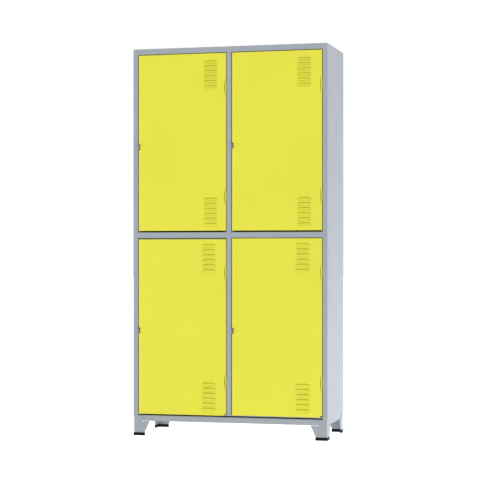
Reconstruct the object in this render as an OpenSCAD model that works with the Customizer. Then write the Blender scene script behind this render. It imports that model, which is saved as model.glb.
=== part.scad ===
/* [Cabinet] */
// Overall width of the cabinet
cabinet_w = 1000; // [800:5:1300]
// Depth of the cabinet body, front sheet to rear flange
cabinet_d = 410; // [320:5:600]
// Overall height from the floor to the top sheet
cabinet_h = 1950; // [1500:5:2400]
// Height of the body's bottom edge above the floor
base_h = 102; // [95:1:160]
// Sheet thickness of the body and the doors
sheet = 1.0; // [0.8:0.1:1.5]

/* [Front frame] */
// Width of each outer stile
stile_w = 24; // [20:1:45]
// Width of the middle mullion
mullion_w = 24; // [20:1:45]
// Height of the top rail
top_rail_h = 28; // [20:1:60]
// Height of the rail between the upper and the lower doors
mid_rail_h = 28; // [20:1:60]
// Height of the shelf's top above the floor
shelf_z = 1025; // [700:5:1300]
// Height of the floor's front lip
sill_lip = 5.5; // [4:0.5:20]
// How far the lip stands behind the front faces
lip_recess = 1.6; // [1.5:0.1:4]
// Open shadow gap between the base and the floor's front lip
shadow_gap = 7.5; // [4:0.5:20]
// Depth of the rebate that a door closes into
rebate_d = 22; // [20:1:30]
// Width of the door stop inside the rebate
stop_w = 12; // [8:1:18]

/* [Doors] */
// Gap beside a door on its hinge side
hinge_gap = 3; // [2.6:0.2:5]
// Gap beside a door on its lock side
lock_gap = 4; // [2.5:0.5:6]
// Gap above a door
top_gap = 3.5; // [2:0.5:6]
// Gap below an upper door
bottom_gap = 7.5; // [2:0.5:12]
// How far a lower door reaches below the floor's top, in front of the lip
sill_overlap = 1.5; // [0.5:0.5:3]
// How much lower the lower left door hangs
left_drop = 3.5; // [0:0.5:4]
// Height of the door sheet's skirt below the bottom return
skirt = 7; // [7:0.5:12]
// Depth of the door pan, front sheet to hem
door_d = 18; // [17:0.5:18.5]
// Width of the hem round the back of the door pan
hem_w = 12; // [10:1:15]
// Width of the stiffener inside the door
stiffener_w = 70; // [40:5:100]
// Depth of the stiffener
stiffener_d = 14; // [8:1:15]

/* [Louvres] */
// Louvres in one group
louvre_count = 6; // [2:1:8]
// Length of one louvre
louvre_w = 70; // [40:2:110]
// Height of one louvre
louvre_h = 13; // [11:0.5:16]
// Distance from one louvre to the next
louvre_pitch = 25; // [20:1:40]
// How far a louvre stands out of the door
louvre_out = 6; // [4:0.5:7]
// Hinge edge to the louvres on the upper left door
louvre_inset_upper = 45; // [45:1:120]
// Hinge edge to the louvres on the lower left door
louvre_inset_lower = 53; // [45:1:120]
// How much further in the louvres sit on the right doors
louvre_extra_right = 9.5; // [0:0.5:20]
// Top edge to the upper group on an upper door
louvre_from_top_upper = 35; // [25:1:120]
// Top edge to the upper group on a lower door
louvre_from_top_lower = 25; // [25:1:120]
// Bottom edge to the lower group
louvre_from_bottom = 26; // [20:1:120]

/* [Hinges] */
// Height of one hinge
hinge_h = 66; // [50:1:90]
// Hinge's middle to the door's end
hinge_from_end = 170; // [100:5:250]
// Outer diameter of the hinge barrel
barrel_d = 8; // [7:0.5:8]
// Diameter of the hinge pin
pin_d = 4; // [3:0.5:4.5]
// Running clearance of the pin, on the radius
pin_clearance = 0.05; // [0.03:0.01:0.08]
// Thickness of the hinge leaves
leaf_t = 1.5; // [1:0.25:1.5]
// Width of the leaf on the door
door_leaf_w = 28; // [16:1:34]

/* [Padlock eyes] */
// Height of the notch in the door's edge
notch_h = 28; // [26:1:40]
// Width of the notch in the door's edge
notch_w = 9; // [8:0.5:12]
// Door's middle height down to the notch's middle
notch_drop = 20; // [0:1:60]
// Height of the eye plate
eye_h = 22; // [18:1:24]
// How far the eye plate stands out of the door
eye_out = 15; // [12:0.5:20]
// Thickness of the eye plate
eye_t = 2; // [1.5:0.25:2.5]
// Diameter of the shackle hole
shackle_hole_d = 8; // [6:0.5:9]

/* [Base] */
// How far the base stands in from the body
base_inset = 2; // [1:0.5:6]
// Thickness of the leg plates
leg_t = 2; // [1.5:0.5:3]
// Height of the base rails
rail_h = 28; // [20:1:40]
// Thickness of the base rails
rail_t = 1.5; // [1:0.5:2]
// Width of the rails' top flange
rail_flange = 24; // [16:1:40]
// Width of a leg's tab over the rail
leg_tab_w = 48; // [40:1:80]
// Width of a leg just below the rail
leg_wing_w = 82; // [60:1:120]
// Width of a leg at the foot
leg_foot_w = 57; // [40:1:80]
// Gap between the rail and the leg's wing
wing_gap = 1.2; // [0.8:0.2:6]
// Radius of the tab's top corner
tab_r = 20; // [8:1:22]
// Diameter of the relief hole beside the tab
relief_d = 6; // [4:0.5:8]
// Height of a foot cap
cap_h = 15; // [10:1:25]
// Wall of a foot cap
cap_wall = 2; // [1.5:0.5:3]
// Thickness of a foot cap under the leg
cap_floor = 3; // [2:0.5:5]

/* [Buffers] */
// Diameter of a rubber buffer
buffer_d = 9; // [6:0.5:10]
// Buffer's middle to the door's end
buffer_from_end = 40; // [25:5:100]

/* [Hidden] */
$fn = 48;
eps = 0.5;
// colours
body_grey = [0.64, 0.68, 0.73];
side_grey = [0.78, 0.81, 0.85];
door_yellow = [0.92, 0.90, 0.30];
steel = [0.75, 0.77, 0.79];
black = [0.06, 0.06, 0.07];
inside_grey = [0.55, 0.59, 0.64];

// depth: the origin is midway between the eye plates' tips and the rear
front_y = (eye_out - cabinet_d) / 2;
back_y = front_y + cabinet_d;
half_w = cabinet_w / 2;

// heights
body_bottom = base_h;
lip_bottom = body_bottom + shadow_gap;
floor_top = lip_bottom + sill_lip;
top_rail_bottom = cabinet_h - top_rail_h;
shelf_top = shelf_z;
mid_rail_bottom = shelf_top - mid_rail_h;
upper_door_z = shelf_top + bottom_gap;
upper_door_h = top_rail_bottom - top_gap - upper_door_z;
lower_door_z = floor_top - sill_overlap;
lower_door_h = mid_rail_bottom - top_gap - lower_door_z;

// widths
jamb_x = half_w - stile_w;
mullion_x = mullion_w / 2;
bay_w = jamb_x - mullion_x;
door_w = bay_w - lock_gap - hinge_gap;
stop_y = front_y + rebate_d;
rear_y = back_y - sheet;
bottom_flange = 16;
rear_flange = 16;
rail_stop_h = 10;
lip_hem = 12;
lip_y = front_y + lip_recess;

// hinge: the pin's axis, measured from the door's hinge edge and front face
pivot_in = barrel_d / 2;
pivot_back = barrel_d / 2 + sheet;
hinge_clear = 1.5;
knuckle_gap = 0.4;
middle_h = 0.7 * hinge_h;
knuckle_h = (hinge_h - middle_h) / 2 - knuckle_gap;
pin_head_d = 6.5;
pin_head_h = 1.2;
bore_d = pin_d + 2 * pin_clearance;
jamb_reach = pivot_in + hinge_gap;
frame_leaf_back = rebate_d - sheet - pivot_back - 0.6;

// padlock eye: the plate's left face, measured from the door's lock edge
eye_in = 2;
eye_web_y = 5;
eye_foot = rebate_d - sheet - eye_web_y;

// buffers
buffer_gap = 0.3;
buffer_t = rebate_d - sheet - door_d - buffer_gap;

// base
base_x = half_w - base_inset;
base_front = front_y + base_inset;
base_back = back_y - base_inset;
rail_bottom = base_h - rail_h;
wing_top = rail_bottom - wing_gap;
foot_z = cap_floor;

// left edges of the doors
left_door_x = -jamb_x + lock_gap;
right_door_x = mullion_x + lock_gap;

// A box between two opposite corners
module span(low, high) {
    translate(low) cube(high - low);
}

// ---------- body ----------

// Outline of the left side panel seen from above: side, stile, jamb, stop and rear flange
module side_outline() {
    translate([-half_w, front_y]) square([sheet, cabinet_d]);
    translate([-half_w, front_y]) square([stile_w, sheet]);
    translate([-jamb_x - sheet, front_y]) square([sheet, rebate_d]);
    translate([-jamb_x - sheet, stop_y - sheet]) square([stop_w + sheet, sheet]);
    translate([-half_w, back_y - sheet]) square([rear_flange, sheet]);
}

module side_panel_left() {
    color(side_grey) difference() {
        union() {
            translate([0, 0, body_bottom]) linear_extrude(cabinet_h - body_bottom) side_outline();
            span([-half_w, front_y, body_bottom],
                 [-half_w + bottom_flange, back_y, body_bottom + sheet]);
        }
        // the jamb and the stop end under the top sheet
        span([-jamb_x - sheet, front_y + sheet, cabinet_h - sheet],
             [0, stop_y + eps, cabinet_h + eps]);
    }
}

module side_panel_right() {
    mirror([1, 0, 0]) side_panel_left();
}

module back_panel() {
    color(inside_grey)
        span([-half_w + sheet, rear_y - sheet, body_bottom + sheet],
             [half_w - sheet, rear_y, cabinet_h - sheet]);
}

module top_panel() {
    color(body_grey) {
        // top sheet, notched round the stiles' front faces
        span([-jamb_x, front_y, cabinet_h - sheet], [jamb_x, rear_y, cabinet_h]);
        for (side = [-1, 1])
            scale_side(side)
                span([jamb_x - eps, front_y + sheet, cabinet_h - sheet],
                     [half_w - sheet, rear_y, cabinet_h]);
        // front rail with its return and the door stop
        span([-jamb_x, front_y, top_rail_bottom], [jamb_x, front_y + sheet, cabinet_h]);
        for (side = [-1, 1])
            scale_side(side) rail_fold(mullion_x, jamb_x, top_rail_bottom);
    }
}

// Mirrors its children to the left when side is -1
module scale_side(side) {
    mirror([side < 0 ? 1 : 0, 0, 0]) children();
}

// Return and stop folded back from a rail's lower edge, from x0 to x1
module rail_fold(x0, x1, z) {
    span([x0, front_y, z], [x1, stop_y - sheet, z + sheet]);
    span([x0 + stop_w, stop_y - sheet, z - rail_stop_h], [x1 - stop_w, stop_y, z + sheet]);
}

module floor_panel() {
    color(inside_grey) {
        // narrow between the jambs, narrower between the stops, full width behind them
        span([-jamb_x, lip_y, floor_top - sheet], [jamb_x, stop_y - sheet, floor_top]);
        span([-jamb_x + stop_w, stop_y - sheet - eps, floor_top - sheet],
             [jamb_x - stop_w, stop_y + eps, floor_top]);
        span([-half_w + sheet, stop_y, floor_top - sheet],
             [half_w - sheet, rear_y - sheet, floor_top]);
    }
    color(body_grey) {
        span([-jamb_x, lip_y, lip_bottom], [jamb_x, lip_y + sheet, floor_top]);
        span([-jamb_x, lip_y, lip_bottom], [jamb_x, lip_y + lip_hem, lip_bottom + sheet]);
    }
}

// Sheet that closes the body below: between the stops, then between the side panels' flanges
module bottom_panel() {
    color(inside_grey) {
        span([-jamb_x + stop_w, front_y + sheet, body_bottom],
             [jamb_x - stop_w, stop_y + eps, body_bottom + sheet]);
        span([-half_w + bottom_flange, stop_y, body_bottom],
             [half_w - bottom_flange, rear_y, body_bottom + sheet]);
    }
}

// Middle wall: a sheet with a wide front flange behind the mullion and a rear flange
module partition() {
    color(inside_grey) {
        span([-sheet / 2, stop_y, floor_top], [sheet / 2, rear_y - sheet, cabinet_h - sheet]);
        span([-mullion_x - stop_w, stop_y, floor_top],
             [mullion_x + stop_w, stop_y + sheet, cabinet_h - sheet]);
        span([-rear_flange, rear_y - 2 * sheet, floor_top],
             [rear_flange, rear_y - sheet, cabinet_h - sheet]);
    }
}

// Middle front post: a hat section whose brims are the door stops
module mullion() {
    color(body_grey)
        translate([0, 0, floor_top]) linear_extrude(top_rail_bottom - floor_top) {
            translate([-mullion_x, front_y]) square([mullion_w, sheet]);
            for (side = [-1, 1])
                mirror([side < 0 ? 1 : 0, 0]) {
                    translate([mullion_x - sheet, front_y]) square([sheet, rebate_d]);
                    translate([mullion_x - sheet, stop_y - sheet]) square([stop_w + sheet, sheet]);
                }
        }
    // the front face reaches down in front of the floor's lip
    color(body_grey)
        span([-mullion_x, front_y, lip_bottom], [mullion_x, front_y + sheet, floor_top + eps]);
}

// Shelf between the upper and the lower bay, its front edge folded into the middle rail
module shelf_right() {
    color(body_grey) {
        span([mullion_x, front_y, mid_rail_bottom], [jamb_x, front_y + sheet, shelf_top]);
        rail_fold(mullion_x, jamb_x, mid_rail_bottom);
    }
    color(inside_grey) {
        span([mullion_x, front_y, shelf_top - sheet], [jamb_x, stop_y - sheet, shelf_top]);
        span([mullion_x + stop_w, stop_y - sheet - eps, shelf_top - sheet],
             [jamb_x - stop_w, stop_y + sheet + eps, shelf_top]);
        span([sheet / 2, stop_y + sheet, shelf_top - sheet],
             [half_w - sheet, rear_y - 2 * sheet, shelf_top]);
    }
}

module shelf_left() {
    mirror([1, 0, 0]) shelf_right();
}

// ---------- base ----------

// Angle rail lying along X with its top flange turned inward, outer face on y = 0
module rail(length) {
    translate([-length / 2, 0, rail_bottom]) cube([length, rail_t, rail_h]);
    translate([-length / 2, 0, base_h - rail_t]) cube([length, rail_flange, rail_t]);
}

module base_rail_front() {
    color(body_grey) translate([0, base_front + leg_t, 0]) rail(2 * (base_x - leg_t));
}

module base_rail_rear() {
    color(body_grey) translate([0, base_back - leg_t, 0]) rotate([0, 0, 180])
        rail(2 * (base_x - leg_t));
}

module base_rail_right() {
    length = base_back - base_front - 2 * (leg_t + rail_flange);
    color(side_grey) translate([base_x - leg_t, (base_front + base_back) / 2, 0])
        rotate([0, 0, 90]) rail(length);
}

module base_rail_left() {
    mirror([1, 0, 0]) base_rail_right();
}

// One flange of a leg in its own plane: corner at x = 0, height along y
module leg_flange() {
    difference() {
        polygon([[0, foot_z], [leg_foot_w, foot_z], [leg_foot_w, cap_h],
                 [leg_wing_w, wing_top - relief_d / 2], [leg_wing_w, wing_top],
                 [leg_tab_w, wing_top], [leg_tab_w, base_h], [0, base_h]]);
        // round top corner of the tab
        translate([leg_tab_w - tab_r, base_h - tab_r]) difference() {
            square(tab_r + eps);
            circle(tab_r);
        }
        // relief hole at the foot of the tab
        translate([leg_tab_w, wing_top]) circle(d = relief_d);
    }
}

// Leg in the front right corner: a folded plate, its corner at the base's corner
module leg() {
    translate([base_x, base_front + leg_t, 0]) rotate([90, 0, 0]) linear_extrude(leg_t)
        mirror([1, 0]) leg_flange();
    translate([base_x - leg_t, base_front, 0]) rotate([90, 0, 90]) linear_extrude(leg_t)
        leg_flange();
}

// Cap over the foot of the front right leg
module foot_cap() {
    reach = leg_foot_w + cap_wall;
    low = [base_x + cap_wall, base_front - cap_wall];
    difference() {
        linear_extrude(cap_h) {
            translate([low.x - reach - cap_wall, low.y])
                square([reach + cap_wall, leg_t + 2 * cap_wall]);
            translate([low.x - leg_t - 2 * cap_wall, low.y])
                square([leg_t + 2 * cap_wall, reach + cap_wall]);
        }
        translate([0, 0, cap_floor]) linear_extrude(cap_h) {
            translate([base_x - leg_foot_w, base_front]) square([leg_foot_w, leg_t]);
            translate([base_x - leg_t, base_front]) square([leg_t, leg_foot_w]);
        }
    }
}

// Puts a front right piece in any corner
module corner(side, rear) {
    middle = (base_front + base_back) / 2;
    translate([0, rear ? 2 * middle : 0, 0]) scale_rear(rear) scale_side(side) children();
}

// Mirrors its children front to back
module scale_rear(rear) {
    mirror([0, rear ? 1 : 0, 0]) children();
}

module leg_front_left() { color(body_grey) corner(-1, false) leg(); }
module leg_front_right() { color(body_grey) corner(1, false) leg(); }
module leg_rear_left() { color(body_grey) corner(-1, true) leg(); }
module leg_rear_right() { color(body_grey) corner(1, true) leg(); }

module foot_cap_front_left() { color(black) corner(-1, false) foot_cap(); }
module foot_cap_front_right() { color(black) corner(1, false) foot_cap(); }
module foot_cap_rear_left() { color(black) corner(-1, true) foot_cap(); }
module foot_cap_rear_right() { color(black) corner(1, true) foot_cap(); }

// ---------- doors: x from the lock edge, y from the front face, z from the bottom ----------

// Moves a door's pieces from the door's own corner to its bay
module in_bay(right, upper) {
    drop = right || upper ? 0 : left_drop;
    translate([right ? right_door_x : left_door_x, front_y,
               (upper ? upper_door_z : lower_door_z) - drop])
        children();
}

function height_of(upper) = upper ? upper_door_h : lower_door_h;
function inset_of(upper, right) =
    (upper ? louvre_inset_upper : louvre_inset_lower) + (right ? louvre_extra_right : 0);
function hinge_levels(upper) = [hinge_from_end, height_of(upper) - hinge_from_end];
function notch_level(upper) = height_of(upper) / 2 - notch_drop;
hinge_x = door_w - pivot_in;

// Hood of one louvre, open below; in is how far its faces lie inside the outer ones
module hood(in) {
    w = louvre_w - 2 * in;
    h = louvre_h - in;
    out = louvre_out - in;
    slope = louvre_out;
    intersection() {
        // side profile: steep upper slope, nearly upright front
        translate([-w / 2, 0, 0]) rotate([90, 0, 90]) linear_extrude(w)
            polygon([[eps, 0], [-out, 0], [-out + 0.5, h - slope], [0, h], [eps, h]]);
        // plan: the ends slope back to the door
        linear_extrude(louvre_h)
            polygon([[-w / 2, eps], [-w / 2, 0], [-w / 2 + slope, -out], [w / 2 - slope, -out],
                     [w / 2, 0], [w / 2, eps]]);
        // front outline with round top corners
        translate([0, eps, 0]) rotate([90, 0, 0]) linear_extrude(louvre_out + 2 * eps)
            hood_outline(w, h);
    }
}

module hood_outline(w, h) {
    r = h / 2;
    translate([-w / 2, 0]) square([w, h - r]);
    translate([-w / 2 + r, 0]) square([w - 2 * r, h]);
    for (side = [-1, 1])
        translate([side * (w / 2 - r), h - r]) circle(r);
}

// Bottom edges of all the louvres of a door
function louvre_rows(upper) = concat(
    [for (i = [0:louvre_count - 1])
        height_of(upper) - (upper ? louvre_from_top_upper : louvre_from_top_lower)
            - louvre_h - i * louvre_pitch],
    [for (i = [0:louvre_count - 1]) louvre_from_bottom + i * louvre_pitch]);

module door(upper, right) {
    door_h = height_of(upper);
    louvre_x = door_w - inset_of(upper, right) - louvre_w / 2;
    notch_z = notch_level(upper);
    // a lower door's bottom return sits above the skirt that covers the floor's lip
    fold_z = upper ? 0 : skirt;
    difference() {
        union() {
            difference() {
                // pan: front sheet, four returns and a hem all round
                cube([door_w, door_d, door_h]);
                translate([sheet, sheet, fold_z + sheet])
                    cube([door_w - 2 * sheet, door_d - 2 * sheet, door_h - fold_z - 2 * sheet]);
                translate([hem_w, sheet, fold_z + hem_w])
                    cube([door_w - 2 * hem_w, door_d, door_h - fold_z - 2 * hem_w]);
                translate([-eps, sheet, -eps])
                    cube([door_w + 2 * eps, door_d, fold_z + eps]);
            }
            for (z = louvre_rows(upper))
                translate([louvre_x, 0, z]) hood(0);
        }
        for (z = louvre_rows(upper))
            translate([louvre_x, 0, z]) louvre_passage();
        // room for the hinges in the hinge edge
        for (z = hinge_levels(upper))
            translate([hinge_x - pivot_in - 0.6, -eps, z - hinge_h / 2 - hinge_clear])
                cube([pivot_in + 2 * barrel_d, pivot_back + pivot_in + 1 + eps,
                      hinge_h + 2 * hinge_clear]);
        // the skirt ends short of the hinge, clear of the floor's lip as the door swings
        translate([hinge_x - pivot_back - 1, -eps, -eps])
            cube([door_w, sheet + 2 * eps, fold_z + eps]);
        // notch for the padlock eye, right through the lock edge
        translate([-eps, -eps, notch_z - notch_h / 2])
            cube([notch_w + eps, door_d + 2 * eps, notch_h]);
    }
    // the door's own padlock ear, bent out of the sheet beside the notch
    translate([notch_w, sheet, notch_z]) rotate([90, 0, 90]) linear_extrude(sheet)
        ear_outline(-eye_out - sheet, 0, eye_h);
}

// Way through a louvre: the hollow of the hood and the slot behind it
module louvre_passage() {
    hood(sheet);
    intersection() {
        translate([0, 2 * sheet, 0]) rotate([90, 0, 0]) linear_extrude(4 * sheet)
            hood_outline(louvre_w - 2 * sheet, louvre_h - sheet);
        translate([-louvre_w / 2, 0, 0]) cube([louvre_w, 2 * sheet, louvre_h]);
    }
}

// Ear or eye plate: from x0 to x1, round outer corners, with the shackle hole
module ear_outline(x0, x1, h) {
    r = h / 3;
    difference() {
        union() {
            translate([x0 + r, -h / 2]) square([x1 - x0 - r, h]);
            translate([x0, -h / 2 + r]) square([r, h - 2 * r]);
            for (side = [-1, 1])
                translate([x0 + r, side * (h / 2 - r)]) circle(r);
        }
        translate([x0 + eye_out / 2, 0]) circle(d = shackle_hole_d);
    }
}

// Hat-section stiffener up the middle of the door, behind the front sheet
module stiffener(upper) {
    fold_z = upper ? 0 : skirt;
    flange = 12;
    end_gap = 3;
    translate([door_w / 2, 0, fold_z + sheet + end_gap])
        linear_extrude(height_of(upper) - fold_z - 2 * (sheet + end_gap)) {
            translate([-stiffener_w / 2 + flange, stiffener_d])
                square([stiffener_w - 2 * flange, sheet]);
            for (side = [-1, 1])
                mirror([side < 0 ? 1 : 0, 0]) {
                    translate([stiffener_w / 2 - flange - sheet, sheet])
                        square([sheet, stiffener_d]);
                    translate([stiffener_w / 2 - flange - sheet, sheet])
                        square([flange + sheet, sheet]);
                }
        }
}

// Moves its children to the pin's axis at each hinge of a door, z = 0 at the hinge's bottom
module at_hinges(upper) {
    for (z = hinge_levels(upper))
        translate([hinge_x, pivot_back, z - hinge_h / 2]) children();
}

// Leaf on the door: flat behind the front sheet, with the two outer knuckles
module door_leaves(upper) {
    r = barrel_d / 2;
    at_hinges(upper) {
        for (z = [0, hinge_h - knuckle_h])
            difference() {
                union() {
                    translate([0, 0, z]) cylinder(d = barrel_d, h = knuckle_h);
                    translate([-door_leaf_w, -r, z]) cube([door_leaf_w, leaf_t, knuckle_h]);
                }
                translate([0, 0, z - eps]) cylinder(d = bore_d, h = knuckle_h + 2 * eps);
            }
        translate([-door_leaf_w, -r, 0]) cube([door_leaf_w - r - 1, leaf_t, hinge_h]);
    }
}

// Leaf on the jamb: lies in the side gap, with the middle knuckle
module frame_leaves(upper) {
    r = barrel_d / 2;
    z = knuckle_h + knuckle_gap;
    at_hinges(upper) {
        difference() {
            union() {
                translate([0, 0, z]) cylinder(d = barrel_d, h = middle_h);
                translate([0, r - leaf_t, z]) cube([jamb_reach, leaf_t, middle_h]);
            }
            translate([0, 0, z - eps]) cylinder(d = bore_d, h = middle_h + 2 * eps);
        }
        translate([jamb_reach - leaf_t, r - leaf_t, 0])
            cube([leaf_t, frame_leaf_back - r + leaf_t, hinge_h]);
    }
}

// Pins with a flat head that rests on the top knuckle
module hinge_pins(upper) {
    at_hinges(upper) {
        cylinder(d = pin_d, h = hinge_h);
        translate([0, 0, hinge_h]) cylinder(d = pin_head_d, h = pin_head_h);
    }
}

// Padlock eye on the jamb: a cranked plate that stands out through the notch
module padlock_eye(upper) {
    translate([0, 0, notch_level(upper)]) {
        translate([-lock_gap, eye_web_y, -eye_h / 2])
            cube([eye_t, eye_foot, eye_h]);
        translate([-lock_gap, eye_web_y, -eye_h / 2])
            cube([lock_gap + eye_in + eye_t, eye_t, eye_h]);
        translate([eye_in, eye_web_y + eye_t, 0]) rotate([90, 0, 90]) linear_extrude(eye_t)
            ear_outline(-eye_out - eye_web_y - eye_t, 0, eye_h);
    }
}

// Rubber buffers on the back of the door, at the lock side
module buffers(upper) {
    for (z = [buffer_from_end, height_of(upper) - buffer_from_end])
        translate([hem_w / 2, door_d, z]) rotate([-90, 0, 0])
            cylinder(d = buffer_d, h = buffer_t);
}

module door_upper_left() { color(door_yellow) in_bay(false, true) door(true, false); }
module door_upper_right() { color(door_yellow) in_bay(true, true) door(true, true); }
module door_lower_left() { color(door_yellow) in_bay(false, false) door(false, false); }
module door_lower_right() { color(door_yellow) in_bay(true, false) door(false, true); }

module stiffener_upper_left() { color(door_yellow) in_bay(false, true) stiffener(true); }
module stiffener_upper_right() { color(door_yellow) in_bay(true, true) stiffener(true); }
module stiffener_lower_left() { color(door_yellow) in_bay(false, false) stiffener(false); }
module stiffener_lower_right() { color(door_yellow) in_bay(true, false) stiffener(false); }

module door_leaves_upper_left() { color(door_yellow) in_bay(false, true) door_leaves(true); }
module door_leaves_upper_right() { color(door_yellow) in_bay(true, true) door_leaves(true); }
module door_leaves_lower_left() { color(door_yellow) in_bay(false, false) door_leaves(false); }
module door_leaves_lower_right() { color(door_yellow) in_bay(true, false) door_leaves(false); }

module hinge_pins_upper_left() { color(steel) in_bay(false, true) hinge_pins(true); }
module hinge_pins_upper_right() { color(steel) in_bay(true, true) hinge_pins(true); }
module hinge_pins_lower_left() { color(steel) in_bay(false, false) hinge_pins(false); }
module hinge_pins_lower_right() { color(steel) in_bay(true, false) hinge_pins(false); }

module frame_leaves_upper_left() { color(door_yellow) in_bay(false, true) frame_leaves(true); }
module frame_leaves_upper_right() { color(door_yellow) in_bay(true, true) frame_leaves(true); }
module frame_leaves_lower_left() { color(door_yellow) in_bay(false, false) frame_leaves(false); }
module frame_leaves_lower_right() { color(door_yellow) in_bay(true, false) frame_leaves(false); }

module padlock_eye_upper_left() { color(body_grey) in_bay(false, true) padlock_eye(true); }
module padlock_eye_upper_right() { color(body_grey) in_bay(true, true) padlock_eye(true); }
module padlock_eye_lower_left() { color(body_grey) in_bay(false, false) padlock_eye(false); }
module padlock_eye_lower_right() { color(body_grey) in_bay(true, false) padlock_eye(false); }

module buffers_upper_left() { color(black) in_bay(false, true) buffers(true); }
module buffers_upper_right() { color(black) in_bay(true, true) buffers(true); }
module buffers_lower_left() { color(black) in_bay(false, false) buffers(false); }
module buffers_lower_right() { color(black) in_bay(true, false) buffers(false); }

side_panel_left();
side_panel_right();
back_panel();
top_panel();
floor_panel();
bottom_panel();
partition();
mullion();
shelf_left();
shelf_right();
base_rail_front();
base_rail_rear();
base_rail_left();
base_rail_right();
leg_front_left();
leg_front_right();
leg_rear_left();
leg_rear_right();
foot_cap_front_left();
foot_cap_front_right();
foot_cap_rear_left();
foot_cap_rear_right();
door_upper_left();
stiffener_upper_left();
door_leaves_upper_left();
hinge_pins_upper_left();
frame_leaves_upper_left();
padlock_eye_upper_left();
buffers_upper_left();
door_upper_right();
stiffener_upper_right();
door_leaves_upper_right();
hinge_pins_upper_right();
frame_leaves_upper_right();
padlock_eye_upper_right();
buffers_upper_right();
door_lower_left();
stiffener_lower_left();
door_leaves_lower_left();
hinge_pins_lower_left();
frame_leaves_lower_left();
padlock_eye_lower_left();
buffers_lower_left();
door_lower_right();
stiffener_lower_right();
door_leaves_lower_right();
hinge_pins_lower_right();
frame_leaves_lower_right();
padlock_eye_lower_right();
buffers_lower_right();
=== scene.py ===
"""A two-column, two-tier steel locker cabinet: folded panels, louvred doors, base and studio."""
import math

import bmesh
import bpy
from mathutils import Matrix, Vector


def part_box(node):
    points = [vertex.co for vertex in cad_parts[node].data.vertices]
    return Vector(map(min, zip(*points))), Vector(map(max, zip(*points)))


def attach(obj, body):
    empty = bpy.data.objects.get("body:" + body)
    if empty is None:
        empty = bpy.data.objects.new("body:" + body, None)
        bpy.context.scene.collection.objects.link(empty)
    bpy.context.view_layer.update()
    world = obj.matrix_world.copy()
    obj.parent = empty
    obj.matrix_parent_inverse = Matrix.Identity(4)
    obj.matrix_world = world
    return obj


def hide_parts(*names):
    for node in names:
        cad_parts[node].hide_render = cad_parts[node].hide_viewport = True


bl_info = {
    "name": "Locker Cabinet",
    "version": (1, 0, 0),
    "blender": (4, 5, 0),
    "location": "3D View > Sidebar > Locker",
    "description": "Builds a powder-coated steel locker cabinet with louvred doors",
    "category": "Object",
}

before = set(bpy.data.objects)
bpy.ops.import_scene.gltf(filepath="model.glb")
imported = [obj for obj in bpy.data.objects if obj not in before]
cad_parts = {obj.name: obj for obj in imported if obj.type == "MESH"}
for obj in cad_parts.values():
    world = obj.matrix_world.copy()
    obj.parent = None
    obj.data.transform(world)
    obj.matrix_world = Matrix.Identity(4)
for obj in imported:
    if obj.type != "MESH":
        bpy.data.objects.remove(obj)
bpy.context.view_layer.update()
DOORS = ("upper_left", "upper_right", "lower_left", "lower_right")
MM = 0.001
# sheet and fold of the base rails and legs
BASE_SHEET = 1.5 * MM
BASE_FOLD = 2.4 * MM
LEG_SHEET = 2 * MM
# flanges folded in at the body's rear edges, and under the floor's lip
REAR_FLANGE = 16 * MM
LIP_RETURN = 12 * MM
# hem round the back of a door pan
DOOR_HEM = 12 * MM
# depth and half height of the notch for the padlock eye
NOTCH_DEPTH = 8 * MM
NOTCH_HALF = 14 * MM
HINGE_HEIGHT = 66 * MM
# corner radius of a louvre hood, as a share of its height
HOOD_CORNER = 0.55


# ---------- sizes and colours a user would change ----------

class LOCKER_PG_sheet(bpy.types.PropertyGroup):
    """Sheet metal of the body and the doors"""
    thickness: bpy.props.FloatProperty(
        name="Sheet thickness", description="Thickness of the body and door sheet",
        default=1.0 * MM, min=0.5 * MM, max=3 * MM, unit="LENGTH")
    body_bend: bpy.props.FloatProperty(
        name="Body bend", description="Outer radius of the folds in the body",
        default=1.5 * MM, min=1.0 * MM, max=4 * MM, unit="LENGTH")
    door_bend: bpy.props.FloatProperty(
        name="Door bend", description="Outer radius of the folds in the doors",
        default=1.6 * MM, min=1.0 * MM, max=4 * MM, unit="LENGTH")
    leg_bend: bpy.props.FloatProperty(
        name="Leg bend", description="Outer radius of the fold along a leg's corner",
        default=4.0 * MM, min=2.0 * MM, max=8 * MM, unit="LENGTH")


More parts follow.
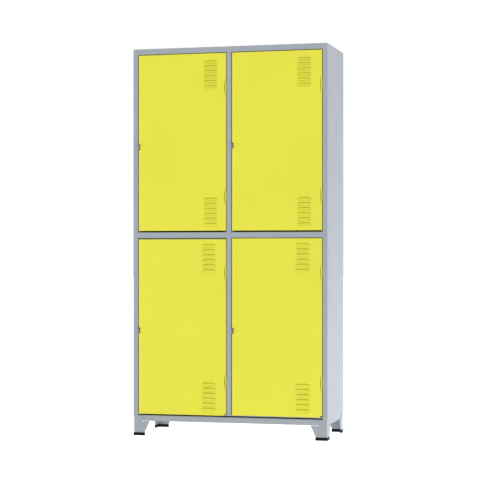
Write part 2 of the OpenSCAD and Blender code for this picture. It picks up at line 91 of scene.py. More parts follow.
class LOCKER_PG_louvres(bpy.types.PropertyGroup):
    """Pressed louvres of one door"""
    count: bpy.props.IntProperty(
        name="Louvres", description="Louvres in one group", default=6, min=1, max=10)
    length: bpy.props.FloatProperty(
        name="Length", description="Length of one louvre",
        default=70 * MM, min=40 * MM, max=120 * MM, unit="LENGTH")
    height: bpy.props.FloatProperty(
        name="Height", description="Height of one louvre",
        default=13 * MM, min=8 * MM, max=20 * MM, unit="LENGTH")
    pitch: bpy.props.FloatProperty(
        name="Pitch", description="Distance from one louvre to the next",
        default=25 * MM, min=15 * MM, max=40 * MM, unit="LENGTH")
    out: bpy.props.FloatProperty(
        name="Stand-out", description="How far a louvre stands out of the door",
        default=6 * MM, min=2 * MM, max=8 * MM, unit="LENGTH")
    inset_upper: bpy.props.FloatProperty(
        name="Inset, upper doors", description="Hinge edge to the louvres on the upper left door",
        default=45 * MM, min=30 * MM, max=120 * MM, unit="LENGTH")
    inset_lower: bpy.props.FloatProperty(
        name="Inset, lower doors", description="Hinge edge to the louvres on the lower left door",
        default=53 * MM, min=30 * MM, max=120 * MM, unit="LENGTH")
    extra_right: bpy.props.FloatProperty(
        name="Extra inset, right doors", description="How much further in they sit on the right",
        default=9.5 * MM, min=0, max=20 * MM, unit="LENGTH")
    from_top_upper: bpy.props.FloatProperty(
        name="From the top, upper doors", description="Top edge to the upper group",
        default=35 * MM, min=20 * MM, max=120 * MM, unit="LENGTH")
    from_top_lower: bpy.props.FloatProperty(
        name="From the top, lower doors", description="Top edge to the upper group",
        default=25 * MM, min=20 * MM, max=120 * MM, unit="LENGTH")
    from_bottom: bpy.props.FloatProperty(
        name="From the bottom", description="Bottom edge to the lower group",
        default=26 * MM, min=15 * MM, max=120 * MM, unit="LENGTH")


class LOCKER_PG_paint(bpy.types.PropertyGroup):
    """Colours of the finishes"""
    body: bpy.props.FloatVectorProperty(
        name="Body", description="Powder coat of the body", subtype="COLOR", size=3,
        default=(0.322, 0.357, 0.399), min=0, max=1)
    door: bpy.props.FloatVectorProperty(
        name="Doors", description="Powder coat of the doors", subtype="COLOR", size=3,
        default=(0.745, 0.715, 0.032), min=0, max=1)
    caps: bpy.props.FloatVectorProperty(
        name="Foot caps", description="Plastic of the foot caps", subtype="COLOR", size=3,
        default=(0.0025, 0.002, 0.002), min=0, max=1)
    zinc: bpy.props.FloatVectorProperty(
        name="Hinges", description="Zinc plating of the hinges", subtype="COLOR", size=3,
        default=(0.60, 0.62, 0.64), min=0, max=1)


class LOCKER_PG_stage(bpy.types.PropertyGroup):
    """Camera and light"""
    yaw: bpy.props.FloatProperty(
        name="Yaw", description="Camera's turn about the vertical",
        default=math.radians(14.71), subtype="ANGLE")
    lens: bpy.props.FloatProperty(
        name="Lens", description="Focal length in millimetres on a 36 mm sensor",
        default=117.7, min=20, max=300)
    eye: bpy.props.FloatVectorProperty(
        name="Eye", description="Camera's place", subtype="XYZ_LENGTH", size=3,
        default=(2.037, -7.738, 0.901))
    shift: bpy.props.FloatProperty(
        name="Shift", description="Vertical shift of the view", default=0.0354)
    sky: bpy.props.FloatProperty(
        name="Sky", description="Strength of the plain white surround", default=1.0, min=0)
    zenith: bpy.props.FloatProperty(
        name="Zenith", description="Share of that strength left straight overhead",
        default=0.2, min=0, max=1)
    floor_glow: bpy.props.FloatProperty(
        name="Floor glow", description="Light given off by the floor", default=0.9, min=0)


# ---------- materials ----------

def new_material(name):
    """An empty node material with its Principled shader and Object coordinates."""
    material = bpy.data.materials.new(name)
    material.use_nodes = True
    shader = material.node_tree.nodes["Principled BSDF"]
    coords = material.node_tree.nodes.new("ShaderNodeTexCoord")
    return material, shader, coords.outputs["Object"]


def noise(material, vector, scale, detail=3.0, roughness=0.55):
    """A noise texture of that many features a metre."""
    node = material.node_tree.nodes.new("ShaderNodeTexNoise")
    node.inputs["Scale"].default_value = scale
    node.inputs["Detail"].default_value = detail
    node.inputs["Roughness"].default_value = roughness
    material.node_tree.links.new(vector, node.inputs["Vector"])
    return node.outputs["Fac"]


def remap(material, value, low, high, from_low=0.3, from_high=0.7):
    """Stretches a value from one range to another."""
    node = material.node_tree.nodes.new("ShaderNodeMapRange")
    node.inputs["From Min"].default_value = from_low
    node.inputs["From Max"].default_value = from_high
    node.inputs["To Min"].default_value = low
    node.inputs["To Max"].default_value = high
    material.node_tree.links.new(value, node.inputs["Value"])
    return node.outputs["Result"]


def mix(material, factor, first, second):
    """Mixes two colours by a factor socket; a colour is a tuple or a socket."""
    node = material.node_tree.nodes.new("ShaderNodeMix")
    node.data_type = "RGBA"
    links = material.node_tree.links
    links.new(factor, node.inputs["Factor"])
    for colour, socket in ((first, node.inputs[6]), (second, node.inputs[7])):
        if isinstance(colour, bpy.types.NodeSocket):
            links.new(colour, socket)
        else:
            socket.default_value = (*colour, 1.0)
    return node.outputs[2]


def bump(material, shader, height, distance, strength=1.0):
    """Bump of that many metres on the shader."""
    node = material.node_tree.nodes.new("ShaderNodeBump")
    node.inputs["Strength"].default_value = strength
    node.inputs["Distance"].default_value = distance
    material.node_tree.links.new(height, node.inputs["Height"])
    material.node_tree.links.new(node.outputs["Normal"], shader.inputs["Normal"])


def shade(colour, factor):
    """A colour made lighter or darker."""
    return tuple(min(1.0, part * factor) for part in colour)


def powder_coat(name, colour, gloss=0.42, peel=0.00006):
    """Powder coat: fine orange peel, faint cloudiness and a speck of tone variation."""
    material, shader, where = new_material(name)
    links = material.node_tree.links
    cloud = noise(material, where, 3.5, 2.0)
    speck = noise(material, where, 900.0, 2.0)
    base = mix(material, remap(material, cloud, 0.0, 1.0), shade(colour, 0.975), shade(colour, 1.02))
    toned = mix(material, remap(material, speck, 0.0, 0.35), base, shade(colour, 0.9))
    links.new(toned, shader.inputs["Base Color"])
    smear = noise(material, where, 9.0, 4.0)
    links.new(remap(material, smear, gloss - 0.04, gloss + 0.07), shader.inputs["Roughness"])
    bump(material, shader, noise(material, where, 420.0, 2.5), peel)
    shader.inputs["Specular IOR Level"].default_value = 0.5
    return material


def zinc_plate(name, colour):
    """Zinc-plated steel with fine drawn lines and cloudy patches."""
    material, shader, where = new_material(name)
    links = material.node_tree.links
    cloud = noise(material, where, 120.0, 3.0)
    links.new(mix(material, remap(material, cloud, 0.0, 1.0), shade(colour, 0.82), shade(colour, 1.1)),
              shader.inputs["Base Color"])
    stretch = material.node_tree.nodes.new("ShaderNodeMapping")
    stretch.inputs["Scale"].default_value = (1.0, 1.0, 0.06)
    links.new(where, stretch.inputs["Vector"])
    lines = noise(material, stretch.outputs["Vector"], 2500.0, 2.0)
    links.new(remap(material, lines, 0.28, 0.45), shader.inputs["Roughness"])
    bump(material, shader, lines, 0.00002)
    shader.inputs["Metallic"].default_value = 0.9
    return material


def moulded_plastic(name, colour):
    """Black moulded plastic with a fine spark-eroded grain and dusty scuffs."""
    material, shader, where = new_material(name)
    links = material.node_tree.links
    scuff = noise(material, where, 60.0, 6.0, 0.7)
    dusty = (0.008, 0.0075, 0.007)
    links.new(mix(material, remap(material, scuff, 0.0, 0.6, 0.5, 0.8), colour, dusty),
              shader.inputs["Base Color"])
    links.new(remap(material, scuff, 0.45, 0.62), shader.inputs["Roughness"])
    bump(material, shader, noise(material, where, 1400.0, 2.0), 0.00005)
    shader.inputs["Specular IOR Level"].default_value = 0.14
    return material


def rubber(name):
    """Matt black rubber."""
    material, shader, where = new_material(name)
    links = material.node_tree.links
    grain = noise(material, where, 700.0, 3.0)
    links.new(mix(material, grain, (0.012, 0.012, 0.012), (0.03, 0.03, 0.03)),
              shader.inputs["Base Color"])
    links.new(remap(material, grain, 0.72, 0.9), shader.inputs["Roughness"])
    bump(material, shader, grain, 0.00004)
    return material


def finish(name, make, *values):
    """The material of that name, made once."""
    return bpy.data.materials.get(name) or make(name, *values)


def body_paint():
    return finish("body_powder_coat", powder_coat, tuple(bpy.context.scene.locker_paint.body))


def door_paint():
    return finish("door_powder_coat", powder_coat, tuple(bpy.context.scene.locker_paint.door), 0.40)


def dress(obj, material):
    """Gives an object one material."""
    obj.data.materials.clear()
    obj.data.materials.append(material)


# ---------- sheet-metal tools ----------

def new_piece(name, bm, body, material, nodes, bend_angle=40):
    """Turns a finished bmesh into a smooth-shaded piece that stands for its nodes."""
    mesh = bpy.data.meshes.new(name)
    bm.to_mesh(mesh)
    bm.free()
    obj = bpy.data.objects.new(name, mesh)
    bpy.context.scene.collection.objects.link(obj)
    for face in mesh.polygons:
        face.use_smooth = True
    mesh.set_sharp_from_angle(angle=math.radians(bend_angle))
    dress(obj, material)
    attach(obj, body)
    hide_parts(*nodes)
    return obj


def fold_edges(bm, radius, segments=4, least=60):
    """Rounds every fold of a sheet, an edge between two faces that meet at a steep angle."""
    folds = [e for e in bm.edges
             if len(e.link_faces) == 2 and e.calc_face_angle(0) > math.radians(least)]
    if folds:
        bmesh.ops.bevel(bm, geom=folds, offset=radius, segments=segments, affect="EDGES",
                        profile=0.5, material=-1, clamp_overlap=True)


def extrude_outline(bm, points, direction):
    """Sheet surface swept from a line of points along a direction."""
    verts = [bm.verts.new(p) for p in points]
    edges = [bm.edges.new(pair) for pair in zip(verts, verts[1:])]
    swept = bmesh.ops.extrude_edge_only(bm, edges=edges)["geom"]
    moved = [v for v in swept if isinstance(v, bmesh.types.BMVert)]
    bmesh.ops.translate(bm, verts=moved, vec=direction)
    return swept


def plate_face(bm, points):
    """One flat face through the points."""
    return bm.faces.new([bm.verts.new(p) for p in points])


def thicken(obj, thickness, offset):
    """Gives a sheet its wall."""
    wall = obj.modifiers.new("wall", "SOLIDIFY")
    wall.thickness = thickness
    wall.offset = offset
    wall.use_even_offset = True
    wall.use_quality_normals = True
    flatten_shading(obj)
    return wall


def flatten_shading(obj):
    """Keeps the flat faces evenly shaded beside their folds."""
    weighted = obj.modifiers.new("even shading", "WEIGHTED_NORMAL")
    weighted.mode = "FACE_AREA"
    weighted.weight = 100
    weighted.keep_sharp = True


def ease_edges(obj, width, segments=2):
    """Takes the sharpness off the cut edges."""
    ease = obj.modifiers.new("eased edges", "BEVEL")
    ease.width = width
    ease.segments = segments
    ease.limit_method = "ANGLE"
    ease.angle_limit = math.radians(50)
    ease.harden_normals = True
    return ease


def cut_box(bm, low, high):
    """Removes the part of a sheet that lies in a box."""
    for axis in range(3):
        for level in (low[axis], high[axis]):
            place = Vector((0, 0, 0))
            place[axis] = level
            normal = Vector((0, 0, 0))
            normal[axis] = 1.0
            bmesh.ops.bisect_plane(bm, geom=bm.verts[:] + bm.edges[:] + bm.faces[:], dist=1e-6,
                                   plane_co=place, plane_no=normal)
    inside = [f for f in bm.faces
              if all(low[a] - 1e-6 < f.calc_center_median()[a] < high[a] + 1e-6 for a in range(3))]
    bmesh.ops.delete(bm, geom=inside, context="FACES")


def arc(centre_x, centre_y, radius, start, end, steps):
    """Points of an arc between two angles in degrees."""
    turns = [math.radians(start + (end - start) * i / steps) for i in range(steps + 1)]
    return [(centre_x + radius * math.cos(a), centre_y + radius * math.sin(a)) for a in turns]


def mirrored(bm, low_x_side):
    """Mirrors a mesh to the left of the middle plane and turns its faces the right way again."""
    if low_x_side:
        bmesh.ops.transform(bm, matrix=Matrix.Scale(-1, 4, (1, 0, 0)), verts=bm.verts)
        bmesh.ops.reverse_faces(bm, faces=bm.faces)


def flip_to_rear(bm, front_y, rear_y):
    """Mirrors a front piece so that its front face lands on the rear one."""
    flip = Matrix.Translation((0, front_y + rear_y, 0)) @ Matrix.Scale(-1, 4, (0, 1, 0))
    bmesh.ops.transform(bm, matrix=flip, verts=bm.verts)
    bmesh.ops.reverse_faces(bm, faces=bm.faces)


def outwards(bm, near, direction):
    """Makes a sheet's faces agree, with the one nearest a point facing that way."""
    bmesh.ops.remove_doubles(bm, verts=bm.verts, dist=1e-6)
    bmesh.ops.recalc_face_normals(bm, faces=bm.faces)
    nearest = min(bm.faces, key=lambda f: (f.calc_center_median() - Vector(near)).length)
    if nearest.normal.dot(Vector(direction)) < 0:
        bmesh.ops.reverse_faces(bm, faces=bm.faces)


def folded_sheet(outline, axis, low, high, radius, near, direction):
    """A folded sheet: an outline of its outer face in the other two axes, swept along one axis."""
    bm = bmesh.new()
    others = [a for a in range(3) if a != axis]
    points = []
    for first, second in outline:
        place = Vector((0, 0, 0))
        place[axis] = low
        place[others[0]] = first
        place[others[1]] = second
        points.append(place)
    step = Vector((0, 0, 0))
    step[axis] = high - low
    extrude_outline(bm, points, step)
    outwards(bm, near, direction)
    fold_edges(bm, radius)
    return bm


def add_flat(bm, low, high, normal_axis, sign):
    """Adds one flat strip of sheet, a rectangle in the plane of its outer face."""
    a, b = [axis for axis in range(3) if axis != normal_axis]
    corners = []
    for first, second in ((low[a], low[b]), (high[a], low[b]), (high[a], high[b]), (low[a], high[b])):
        place = Vector((0, 0, 0))
        place[a] = first
        place[b] = second
        place[normal_axis] = low[normal_axis]
        corners.append(place)
    face = plate_face(bm, corners)
    face.normal_update()
    if face.normal[normal_axis] * sign < 0:
        bmesh.ops.reverse_faces(bm, faces=[face])


def sheet_sizes():
    return bpy.context.scene.locker_sheet


class BodyPlan:
    """Levels and faces of the cabinet, read from the frame."""

    def __init__(self):
        low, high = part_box("side_panel_right")
        self.side_x = high.x
        self.front = low.y
        self.back = high.y
        self.top = high.z
        self.bottom = low.z
        mullion_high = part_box("mullion")[1]
        self.stop_back = mullion_high.y
        self.sheet = sheet_sizes().thickness
        self.stop_front = self.stop_back - self.sheet
        self.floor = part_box("partition")[0].z
        self.top_rail = mullion_high.z
        self.flange_x = mullion_high.x
        self.mullion_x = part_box("padlock_eye_upper_right")[0].x
        stop_w = self.flange_x - self.mullion_x
        self.stop_x = low.x
        self.jamb_x = self.stop_x + stop_w


# ---------- body ----------

class LOCKER_OT_side_panels(bpy.types.Operator):
    """Side panels, each with its stile, jamb, door stop and flanges folded from one sheet"""
    bl_idname = "locker.side_panels"
    bl_label = "Side panels"

    def execute(self, context):
        plan = BodyPlan()
        outline = [(plan.side_x - REAR_FLANGE, plan.back), (plan.side_x, plan.back),
                   (plan.side_x, plan.front), (plan.jamb_x, plan.front),
                   (plan.jamb_x, plan.stop_front), (plan.stop_x, plan.stop_front)]
        for name, left in (("side_panel_right", False), ("side_panel_left", True)):
            bm = folded_sheet(outline, 2, plan.bottom, plan.top, sheet_sizes().body_bend,
                              (plan.side_x, 0, 1), (1, 0, 0))
            add_flat(bm, (plan.side_x - REAR_FLANGE, plan.front + plan.sheet, plan.bottom),
                     (plan.side_x - plan.sheet, plan.back - plan.sheet, plan.bottom), 2, -1)
            mirrored(bm, left)
            piece = new_piece("sheet_" + name, bm, "cabinet", body_paint(), [name])
            thicken(piece, plan.sheet, -1)
        return {"FINISHED"}


class LOCKER_OT_cross_panels(bpy.types.Operator):
    """Top panel, shelves, floor and mullion, each folded from one sheet"""
    bl_idname = "locker.cross_panels"
    bl_label = "Top, shelves, floor and mullion"

    def top(self, plan):
        outline = [(plan.back - plan.sheet, plan.top), (plan.front, plan.top),
                   (plan.front, plan.top_rail), (plan.stop_front, plan.top_rail)]
        bm = folded_sheet(outline, 0, -plan.jamb_x, plan.jamb_x, sheet_sizes().body_bend,
                          (0, 0, plan.top), (0, 0, 1))
        for side in (-1, 1):
            inner, outer = sorted((side * plan.jamb_x, side * (plan.side_x - plan.sheet)))
            add_flat(bm, (inner, plan.front + plan.sheet, plan.top),
                     (outer, plan.back - plan.sheet, plan.top), 2, 1)
        low_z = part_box("top_panel")[0].z
        self.stops(bm, plan, low_z, plan.top_rail)
        return bm

    def stops(self, bm, plan, low_z, high_z, sides=(-1, 1)):
        """Door stops hanging behind a rail, one to a bay."""
        for side in sides:
            inner, outer = sorted((side * plan.flange_x, side * plan.stop_x))
            add_flat(bm, (inner, plan.stop_front, low_z), (outer, plan.stop_front, high_z), 1, -1)

    def shelf(self, plan):
        low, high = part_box("shelf_right")
        rail_bottom = high.z - (plan.top - plan.top_rail)
        outline = [(plan.stop_front, high.z), (plan.front, high.z), (plan.front, rail_bottom),
                   (plan.stop_front, rail_bottom)]
        bm = folded_sheet(outline, 0, plan.mullion_x, plan.jamb_x, sheet_sizes().body_bend,
                          ((plan.mullion_x + plan.jamb_x) / 2, plan.front, high.z - 14 * MM), (0, -1, 0))
        add_flat(bm, (plan.flange_x, plan.stop_front, high.z),
                 (plan.stop_x, plan.stop_back + plan.sheet, high.z), 2, 1)
        add_flat(bm, (low.x, plan.stop_back + plan.sheet, high.z), (high.x, high.y, high.z), 2, 1)
        self.stops(bm, plan, low.z, rail_bottom, (1,))
        return bm

    def floor(self, plan):
        low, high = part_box("floor_panel")
        outline = [(plan.stop_back, high.z), (low.y, high.z), (low.y, low.z),
                   (low.y + LIP_RETURN, low.z)]
        bm = folded_sheet(outline, 0, -plan.jamb_x, plan.jamb_x, BASE_FOLD,
                          (0, low.y, (low.z + high.z) / 2), (0, -1, 0))
        add_flat(bm, (low.x, plan.stop_back, high.z), (high.x, high.y, high.z), 2, 1)
        return bm

    def mullion(self, plan):
        outline = [(-plan.flange_x, plan.stop_front), (-plan.mullion_x, plan.stop_front),
                   (-plan.mullion_x, plan.front), (plan.mullion_x, plan.front),
                   (plan.mullion_x, plan.stop_front), (plan.flange_x, plan.stop_front)]
        bm = folded_sheet(outline, 2, plan.floor, plan.top_rail, sheet_sizes().body_bend,
                          (0, plan.front, 1), (0, -1, 0))
        add_flat(bm, (-plan.mullion_x, plan.front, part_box("mullion")[0].z),
                 (plan.mullion_x, plan.front, plan.floor), 1, -1)
        return bm

    def welds(self, plan):
        """Ground-flush welds where the rails meet the stiles and the mullion."""
        bend = sheet_sizes().body_bend
        shelf_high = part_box("shelf_right")[1].z
        rail_h = plan.top - plan.top_rail
        face = plan.front
        for name, spans in (("top", (plan.top_rail + bend, plan.top - bend)),
                            ("middle", (shelf_high - rail_h + bend, shelf_high - bend))):
            bm = bmesh.new()
            inner = 0 if name == "top" else plan.mullion_x - bend
            for side in (-1, 1):
                for near, far in ((plan.jamb_x, plan.jamb_x + bend), (inner, plan.mullion_x)):
                    if name == "top" and near == 0:
                        continue
                    low_x, high_x = sorted((side * near, side * far))
                    add_flat(bm, (low_x, face, spans[0]), (high_x, face, spans[1]), 1, -1)
            if name == "top":
                add_flat(bm, (bend - plan.mullion_x, face, plan.top_rail),
                         (plan.mullion_x - bend, face, plan.top_rail + bend), 1, -1)
            piece = new_piece("welds_" + name, bm, "cabinet", body_paint(), [])
            thicken(piece, plan.sheet, -1)

    def execute(self, context):
        plan = BodyPlan()
        self.welds(plan)
        shelf_left = self.shelf(plan)
        mirrored(shelf_left, True)
        for node, bm in (("top_panel", self.top(plan)), ("floor_panel", self.floor(plan)),
                         ("mullion", self.mullion(plan)), ("shelf_right", self.shelf(plan)),
                         ("shelf_left", shelf_left)):
            piece = new_piece("sheet_" + node, bm, "cabinet", body_paint(), [node])
            thicken(piece, plan.sheet, -1)
        for node in ("back_panel", "bottom_panel", "partition"):
            dress(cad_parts[node], body_paint())
        return {"FINISHED"}


# ---------- base ----------

class LOCKER_OT_base(bpy.types.Operator):
    """Base rails, corner legs and foot caps"""
    bl_idname = "locker.base"
    bl_label = "Base"

    def rails(self):
        front_low, front_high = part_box("base_rail_front")
        side_low, side_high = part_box("base_rail_right")
        runs = (("base_rail_front", [(front_high.y, front_high.z), (front_low.y, front_high.z),
                                     (front_low.y, front_low.z)], 0, front_low.x, front_high.x,
                 (0, front_low.y, front_low.z + 14 * MM), (0, -1, 0)),
                ("base_rail_right", [(side_low.x, side_high.z), (side_high.x, side_high.z),
                                     (side_high.x, side_low.z)], 1, side_low.y, side_high.y,
                 (side_high.x, 0, side_low.z + 14 * MM), (1, 0, 0)))
        for node, outline, axis, low, high, near, out in runs:
            for twin in (False, True):
                bm = folded_sheet(outline, axis, low, high, BASE_FOLD, near, out)
                name = node
                if twin and axis == 1:
                    name = "base_rail_left"
                    mirrored(bm, True)
                elif twin:
                    name = "base_rail_rear"
                    flip_to_rear(bm, front_low.y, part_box("base_rail_rear")[1].y)
                piece = new_piece("angle_" + name, bm, "cabinet", body_paint(), [name])
                thicken(piece, BASE_SHEET, -1)

    def leg_outline(self, height, foot):
        """Outline of one flange of a leg: across from the corner, and up."""
        tab, wing, wide, tab_r, relief = 48 * MM, 82 * MM, 57 * MM, 20 * MM, 3 * MM
        wing_top = height - 29.2 * MM
        outline = [(0, foot), (wide, foot), (wide, 15 * MM), (wing, wing_top - relief)]
        outline += arc(wing - 2 * MM, wing_top - 2 * MM, 2 * MM, 0, 90, 3)
        outline += arc(tab, wing_top, relief, 0, -90, 4)
        outline += arc(tab, wing_top, relief, -180, -270, 4)
        outline += arc(tab - tab_r, height - tab_r, tab_r, 0, 90, 8)
        outline.append((0, height))
        return outline

    def leg(self, node):
        low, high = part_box("leg_front_right")
        bm = bmesh.new()
        outline = self.leg_outline(high.z, low.z)
        plate_face(bm, [(high.x - across, low.y, up) for across, up in outline])
        plate_face(bm, [(high.x, low.y + across, up) for across, up in outline])
        outwards(bm, (high.x - 30 * MM, low.y, 40 * MM), (0, -1, 0))
        fold_edges(bm, sheet_sizes().leg_bend, 6)
        self.to_corner(bm, node)
        piece = new_piece("folded_" + node, bm, "cabinet", body_paint(), [node])
        thicken(piece, LEG_SHEET, -1)

    def cap(self, node):
        low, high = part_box("foot_cap_front_right")
        wide = 6 * MM
        bm = bmesh.new()
        plate_face(bm, [(high.x, low.y, low.z), (high.x, high.y, low.z), (high.x - wide, high.y, low.z),
                        (high.x - wide, low.y + wide, low.z), (low.x, low.y + wide, low.z),
                        (low.x, low.y, low.z)])
        grown = bmesh.ops.extrude_face_region(bm, geom=bm.faces[:])["geom"]
        top = [v for v in grown if isinstance(v, bmesh.types.BMVert)]
        bmesh.ops.translate(bm, verts=top, vec=(0, 0, high.z - low.z))
        bmesh.ops.recalc_face_normals(bm, faces=bm.faces)
        corners = [e for e in bm.edges if abs(e.verts[0].co.z - e.verts[1].co.z) > 1 * MM]
        bmesh.ops.bevel(bm, geom=corners, offset=2.4 * MM, segments=4, affect="EDGES",
                        profile=0.5, material=-1)
        self.to_corner(bm, node)
        piece = new_piece("moulded_" + node, bm, "cabinet",
                          finish("foot_cap_plastic", moulded_plastic,
                                 tuple(bpy.context.scene.locker_paint.caps)), [node])
        ease_edges(piece, 1.0 * MM, 3)

    def to_corner(self, bm, node):
        """Mirrors a front right piece to the corner in its name."""
        if "rear" in node:
            front_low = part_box(node.replace("left", "right").replace("rear", "front"))[0]
            flip_to_rear(bm, front_low.y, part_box(node)[1].y)
        mirrored(bm, "left" in node)

    def execute(self, context):
        self.rails()
        for row in ("front", "rear"):
            for side in ("left", "right"):
                self.leg(f"leg_{row}_{side}")
                self.cap(f"foot_cap_{row}_{side}")
        return {"FINISHED"}


# ---------- doors ----------

class LOCKER_OT_doors(bpy.types.Operator):
    """Louvred door pans with their stiffeners"""
    bl_idname = "locker.doors"
    bl_label = "Doors"

    def pan(self, low, high, louvre_x, rows, where):
        """Front sheet with four returns and a hem, cut for the louvres, the hinges and the notch."""
        sizes = context_louvres()
        wall = sheet_sizes().thickness
        bm = bmesh.new()
        plate_face(bm, [(low.x, low.y, low.z), (high.x, low.y, low.z),
                        (high.x, low.y, high.z), (low.x, low.y, high.z)])
        rim = bmesh.ops.extrude_edge_only(bm, edges=bm.edges[:])["geom"]
        deep = [v for v in rim if isinstance(v, bmesh.types.BMVert)]
        bmesh.ops.translate(bm, verts=deep, vec=(0, high.y - low.y, 0))
        rear_edges = [e for e in bm.edges if all(v in deep for v in e.verts)]
        rim = bmesh.ops.extrude_edge_only(bm, edges=rear_edges)["geom"]
        hems = [v for v in rim if isinstance(v, bmesh.types.BMVert)]
        middle = (low + high) / 2
        for vert in hems:
            vert.co.x += DOOR_HEM if vert.co.x < middle.x else -DOOR_HEM
            vert.co.z += DOOR_HEM if vert.co.z < middle.z else -DOOR_HEM
        outwards(bm, (middle.x, low.y, middle.z), (0, -1, 0))
        fold_edges(bm, sheet_sizes().door_bend, 4)
        # slots behind the louvres, stepped in under the round corners of the hoods
        corner = sizes.height * HOOD_CORNER
        for z in rows:
            for side, top in ((wall, sizes.height - corner), (corner, sizes.height - wall)):
                half = sizes.length / 2 - side
                cut_box(bm, (louvre_x - half, low.y - wall, z),
                        (louvre_x + half, low.y + wall / 2, z + top))
        # notch at the lock edge and room for the hinges
        cut_box(bm, where["notch"][0], where["notch"][1])
        for hinge_low, hinge_high in where["hinges"]:
            cut_box(bm, hinge_low, hinge_high)
        return bm

    def hood_shape(self):
        """One pressed louvre hood: a round-cornered plate drawn forward and left open below."""
        sizes = context_louvres()
        half = sizes.length / 2
        side, crown = sizes.out * 0.9, sizes.out
        draw = bmesh.new()
        plate_face(draw, [(-half, 0, 0), (half, 0, 0), (half, 0, sizes.height), (-half, 0, sizes.height)])
        top = [v for v in draw.verts if v.co.z > sizes.height / 2]
        bmesh.ops.bevel(draw, geom=top, offset=sizes.height * HOOD_CORNER, segments=5, affect="VERTICES",
                        profile=0.5, material=-1)
        # the sides: a copy of the rim stays at the door while the face is drawn forward
        bmesh.ops.extrude_edge_only(draw, edges=draw.edges[:])
        front = max(draw.faces, key=lambda face: face.calc_area())
        for vert in front.verts:
            vert.co.y -= sizes.out
            vert.co.x -= math.copysign(side, vert.co.x)
            vert.co.z = max(0.0, vert.co.z - crown)
        below = [f for f in draw.faces if all(v.co.z < 1e-6 for v in f.verts)]
        bmesh.ops.delete(draw, geom=below, context="FACES")
        bmesh.ops.remove_doubles(draw, verts=draw.verts, dist=1e-5)
        bmesh.ops.recalc_face_normals(draw, faces=draw.faces)
        ridge = [e for e in draw.edges if len(e.link_faces) == 2
                 and all(v.co.y < -sizes.out * 0.9 for v in e.verts)]
        bmesh.ops.bevel(draw, geom=ridge, offset=1.5 * MM, segments=3, affect="EDGES",
                        profile=0.5, material=-1, clamp_overlap=True)
        bmesh.ops.remove_doubles(draw, verts=draw.verts, dist=1e-5)
        outwards(draw, (0, -sizes.out, sizes.height / 3), (0, -1, 0))
        shape = bpy.data.meshes.new("louvre_hood")
        draw.to_mesh(shape)
        draw.free()
        return shape

    def hoods(self, door, face_y, louvre_x, rows):
        """The pressed hoods of one door."""
        shape = self.hood_shape()
        bm = bmesh.new()
        for z in rows:
            before = len(bm.verts)
            bm.from_mesh(shape)
            bm.verts.ensure_lookup_table()
            bmesh.ops.translate(bm, verts=bm.verts[before:], vec=(louvre_x, face_y, z))
        bpy.data.meshes.remove(shape)
        piece = new_piece("louvres_" + door, bm, "door_" + door, door_paint(), [], 35)
        wall = thicken(piece, sheet_sizes().thickness * 0.9, -1)
        wall.use_even_offset = False

    def ear(self, bm, low, notch_x, middle_z, out):
        """Padlock ear bent out of the sheet beside the notch, with its shackle hole."""
        half, radius, hole = 11 * MM, 7.3 * MM, 4 * MM
        tip = low.y - out
        outline = [(tip + radius, middle_z - half), (low.y, middle_z - half),
                   (low.y, middle_z + half), (tip + radius, middle_z + half)]
        outline = outline[:3] + arc(tip + radius, middle_z + half - radius, radius, 90, 180, 5)
        outline += arc(tip + radius, middle_z - half + radius, radius, 180, 270, 5)
        add_holed_plate(bm, notch_x, outline, (low.y - out / 2, middle_z), hole)

    def execute(self, context):
        sizes = context_louvres()
        wall = sheet_sizes().thickness
        for door in DOORS:
            low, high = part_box("door_" + door)
            ear_low = low.copy()
            stiff_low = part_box("stiffener_" + door)[0]
            low.y = stiff_low.y - wall
            inset = sizes.inset_upper if "upper" in door else sizes.inset_lower
            inset += sizes.extra_right if "right" in door else 0
            from_top = sizes.from_top_upper if "upper" in door else sizes.from_top_lower
            louvre_x = high.x - inset - sizes.length / 2
            steps = [i * sizes.pitch for i in range(sizes.count)]
            rows = [high.z - from_top - sizes.height - step for step in steps]
            rows += [low.z + sizes.from_bottom + step for step in steps]
            eye_low, eye_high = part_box("padlock_eye_" + door)
            middle_z = (eye_low.z + eye_high.z) / 2
            notch_x = low.x + NOTCH_DEPTH
            pins_low, pins_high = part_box("hinge_pins_" + door)
            leaf_low, leaf_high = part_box("frame_leaves_" + door)
            spans = ((leaf_low.z, leaf_low.z + HINGE_HEIGHT), (leaf_high.z - HINGE_HEIGHT, leaf_high.z))
            where = {
                "notch": ((low.x - wall, low.y - wall, middle_z - NOTCH_HALF),
                          (notch_x, high.y + wall, middle_z + NOTCH_HALF)),
                "hinges": [((leaf_low.x - 0.6 * MM, low.y - wall, start - 1.5 * MM),
                            (high.x + wall, low.y + 10 * MM, end + 1.5 * MM)) for start, end in spans]}
            fold = Vector((low.x, low.y, stiff_low.z - 4 * wall))
            bm = self.pan(fold, high, louvre_x, rows, where)
            if fold.z - low.z > wall:
                # the skirt ends short of the hinge, clear of the floor's lip as the door swings
                pin = (pins_low + pins_high) / 2
                skirt_end = pin.x - (pin.y - low.y) - 1 * MM
                add_flat(bm, low, (skirt_end, low.y, fold.z + sheet_sizes().door_bend), 1, -1)
            self.hoods(door, low.y, louvre_x, rows)
            self.ear(bm, low, notch_x, middle_z, low.y - ear_low.y)
            piece = new_piece("pan_" + door, bm, "door_" + door, door_paint(),
                              ["door_" + door])
            thicken(piece, wall, -1)
            dress(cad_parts["stiffener_" + door], door_paint())
        return {"FINISHED"}


def context_louvres():
    return bpy.context.scene.locker_louvres


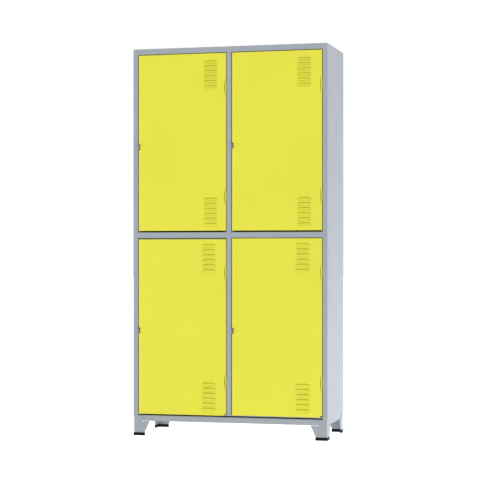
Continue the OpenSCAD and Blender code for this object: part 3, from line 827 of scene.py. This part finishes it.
def add_holed_plate(bm, x, outline, hole_place, hole_radius):
    """A flat plate in the plane of one x, with a round hole."""
    rim = [bm.verts.new((x, y, z)) for y, z in outline]
    edges = [bm.edges.new(pair) for pair in zip(rim, rim[1:] + rim[:1])]
    ring = bmesh.ops.create_circle(bm, segments=24, radius=hole_radius)["verts"]
    turn = Matrix.Translation((x, hole_place[0], hole_place[1])) @ Matrix.Rotation(math.radians(90), 4, "Y")
    bmesh.ops.transform(bm, matrix=turn, verts=ring)
    edges += list(dict.fromkeys(e for v in ring for e in v.link_edges))
    made = bmesh.ops.triangle_fill(bm, use_beauty=True, edges=edges)["geom"]
    faces = [g for g in made if isinstance(g, bmesh.types.BMFace)]
    bmesh.ops.recalc_face_normals(bm, faces=faces)
    if faces[0].normal.x > 0:
        bmesh.ops.reverse_faces(bm, faces=faces)


# ---------- fittings ----------

class LOCKER_OT_fittings(bpy.types.Operator):
    """Hinges, padlock eyes and rubber buffers"""
    bl_idname = "locker.fittings"
    bl_label = "Hinges, eyes and buffers"

    def execute(self, context):
        zinc = finish("hinge_zinc", zinc_plate, tuple(context.scene.locker_paint.zinc))
        for door in DOORS:
            dress(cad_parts["door_leaves_" + door], door_paint())
            dress(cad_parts["frame_leaves_" + door], door_paint())
            dress(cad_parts["hinge_pins_" + door], zinc)
            dress(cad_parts["padlock_eye_" + door], body_paint())
            dress(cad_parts["buffers_" + door], finish("buffer_rubber", rubber))
        return {"FINISHED"}


# ---------- stage ----------

class LOCKER_OT_stage(bpy.types.Operator):
    """Pale floor, soft lights and the camera"""
    bl_idname = "locker.stage"
    bl_label = "Stage"

    def floor(self, glow):
        bm = bmesh.new()
        bmesh.ops.create_grid(bm, x_segments=1, y_segments=1, size=60)
        mesh = bpy.data.meshes.new("studio_floor")
        bm.to_mesh(mesh)
        bm.free()
        obj = bpy.data.objects.new("studio_floor", mesh)
        bpy.context.scene.collection.objects.link(obj)
        material, shader, _ = new_material("studio_floor_white")
        shader.inputs["Base Color"].default_value = (0.97, 0.97, 0.97, 1)
        shader.inputs["Roughness"].default_value = 0.9
        shader.inputs["Specular IOR Level"].default_value = 0.1
        shader.inputs["Emission Color"].default_value = (1, 1, 1, 1)
        shader.inputs["Emission Strength"].default_value = glow
        dress(obj, material)

    def lamp(self, name, place, target, size, power, colour):
        data = bpy.data.lights.new(name, "AREA")
        data.shape = "DISK"
        data.size = size
        data.energy = power
        data.color = colour
        lamp = bpy.data.objects.new(name, data)
        bpy.context.scene.collection.objects.link(lamp)
        lamp.location = place
        lamp.rotation_euler = (Vector(target) - Vector(place)).to_track_quat("-Z", "Y").to_euler()

    def execute(self, context):
        scene = context.scene
        stage = scene.locker_stage
        scene.view_settings.view_transform = "Standard"
        world = bpy.data.worlds.new("white_surround")
        world.use_nodes = True
        sky = world.node_tree.nodes["Background"]
        sky.inputs["Color"].default_value = (1, 1, 1, 1)
        nodes, links = world.node_tree.nodes, world.node_tree.links
        axes = nodes.new("ShaderNodeSeparateXYZ")
        fade = nodes.new("ShaderNodeMapRange")
        links.new(nodes.new("ShaderNodeTexCoord").outputs["Generated"], axes.inputs[0])
        links.new(axes.outputs["Z"], fade.inputs["Value"])
        fade.inputs["From Min"].default_value = 0.22
        fade.inputs["To Min"].default_value = stage.sky
        fade.inputs["To Max"].default_value = stage.sky * stage.zenith
        links.new(fade.outputs["Result"], sky.inputs["Strength"])
        scene.world = world
        self.floor(stage.floor_glow)
        self.lamp("side_light", (2.0, 0.9, 0.06), (0.5, 0.0, 0.15), 0.7, 18, (0.97, 0.98, 1.0))
        data = bpy.data.cameras.new("camera")
        data.lens = stage.lens
        data.sensor_width = 36
        data.shift_y = stage.shift
        camera = bpy.data.objects.new("camera", data)
        scene.collection.objects.link(camera)
        camera.location = stage.eye
        camera.rotation_euler = (math.radians(90), 0, stage.yaw)
        scene.camera = camera
        return {"FINISHED"}


# ---------- panel and registration ----------

class LOCKER_PT_builder(bpy.types.Panel):
    """Buttons that build the cabinet piece by piece"""
    bl_idname = "LOCKER_PT_builder"
    bl_label = "Locker Cabinet"
    bl_space_type = "VIEW_3D"
    bl_region_type = "UI"
    bl_category = "Locker"

    def draw(self, context):
        for operator in STEPS:
            self.layout.operator(operator.bl_idname)
        for group, name in GROUPS.items():
            box = self.layout.box()
            settings = getattr(context.scene, name)
            for key in group.__annotations__:
                box.prop(settings, key)


GROUPS = {
    LOCKER_PG_sheet: "locker_sheet",
    LOCKER_PG_louvres: "locker_louvres",
    LOCKER_PG_paint: "locker_paint",
    LOCKER_PG_stage: "locker_stage",
}
STEPS = (LOCKER_OT_stage, LOCKER_OT_side_panels, LOCKER_OT_cross_panels, LOCKER_OT_base,
         LOCKER_OT_doors, LOCKER_OT_fittings)


def register():
    for group, name in GROUPS.items():
        bpy.utils.register_class(group)
        setattr(bpy.types.Scene, name, bpy.props.PointerProperty(type=group))
    for cls in (*STEPS, LOCKER_PT_builder):
        bpy.utils.register_class(cls)


def unregister():
    for cls in (LOCKER_PT_builder, *reversed(STEPS)):
        bpy.utils.unregister_class(cls)
    for group, name in reversed(GROUPS.items()):
        delattr(bpy.types.Scene, name)
        bpy.utils.unregister_class(group)


def main():
    register()
    bpy.ops.locker.stage()
    bpy.ops.locker.side_panels()
    bpy.ops.locker.cross_panels()
    bpy.ops.locker.base()
    bpy.ops.locker.doors()
    bpy.ops.locker.fittings()


if __name__ == "__main__":
    main()
